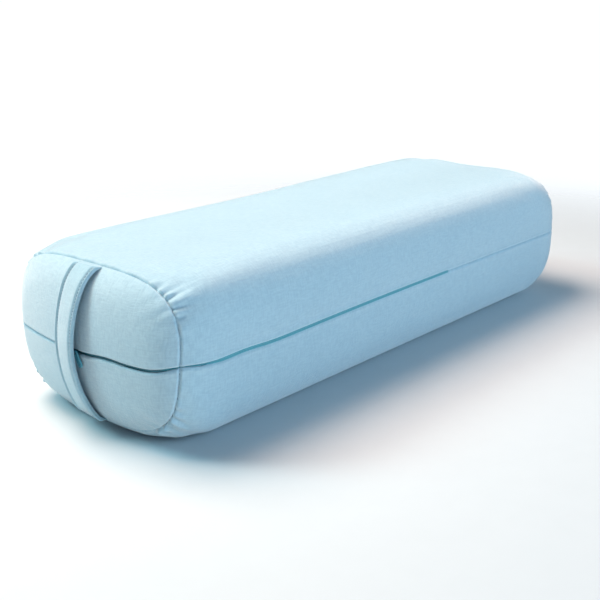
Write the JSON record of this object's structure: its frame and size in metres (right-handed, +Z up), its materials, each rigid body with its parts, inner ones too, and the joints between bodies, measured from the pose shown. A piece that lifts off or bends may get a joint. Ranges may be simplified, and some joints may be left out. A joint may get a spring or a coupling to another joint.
{
  "type": "bolster pillow",
  "caption": "Rectangular bolster pillow with a removable zipped fabric cover over a cased foam core, and a sewn carry strap on one end.",
  "frame": {"origin": "centre of the flat underside that the bolster rests on", "axes": "+Z up; X along the length, with the carry strap on the -X end; the zipped long side faces -Y"},
  "size_m": [0.6629, 0.23, 0.15],
  "materials": {
    "cover_fabric": "pale blue plain-weave cotton, matt",
    "seam_thread": "spun polyester thread in the cover's blue",
    "zip_tape": "teal knitted polyester tape, slight sheen",
    "zip_coil": "teal monofilament coil",
    "zip_stops": "crimped metal, dull",
    "zip_slider": "teal lacquered die-cast metal",
    "zip_pull": "teal lacquered die-cast metal",
    "strap_fabric": "the cover's fabric, folded double and pressed",
    "strap_thread": "top-stitching thread, a little darker than the strap",
    "case_fabric": "white non-woven liner",
    "wadding": "white polyester wadding",
    "foam": "cream polyurethane foam"
  },
  "bodies": {
    "body": {"cover_top_panel": "cover_fabric", "cover_bottom_panel": "cover_fabric", "strap_end_upper_panel": "cover_fabric", "strap_end_lower_panel": "cover_fabric", "far_end_upper_panel": "cover_fabric", "far_end_lower_panel": "cover_fabric", "strap_end_seam_thread": "seam_thread", "far_end_seam_thread": "seam_thread", "side_seam_thread": "seam_thread", "zip_upper_tape": "zip_tape", "zip_lower_tape": "zip_tape", "zip_upper_coil": "zip_coil", "zip_lower_coil": "zip_coil", "zip_top_stops": "zip_stops", "zip_bottom_stop": "zip_stops", "case_wrap": "case_fabric", "case_strap_end": "case_fabric", "case_far_end": "case_fabric", "upper_wadding": "wadding", "lower_wadding": "wadding", "strap_end_wadding": "wadding", "far_end_wadding": "wadding", "foam_core": "foam"},
    "strap": {"strap_face": "strap_fabric", "strap_backing": "strap_fabric", "strap_stitching": "strap_thread"},
    "slider": {"zip_slider": "zip_slider"},
    "pull": {"zip_pull": "zip_pull"}
  },
  "joints": [
    {"name": "strap_slack", "type": "slide", "parent": "body", "child": "strap", "axis": [-1, 0, 0], "range_m": [0, 0.015], "stiffness_N_per_m": 150},
    {"name": "zip_travel", "type": "hinge", "parent": "body", "child": "slider", "pos_m": [0.075, 0, 0.075], "axis": [0, 0, 1], "range_deg": [0, 10.8]},
    {"name": "pull_swing", "type": "hinge", "parent": "slider", "child": "pull", "pos_m": [-0.3271, -0.00763, 0.075], "axis": [-0.9999, -0.0125, 0], "range_deg": [-60, 120]}
  ]
}
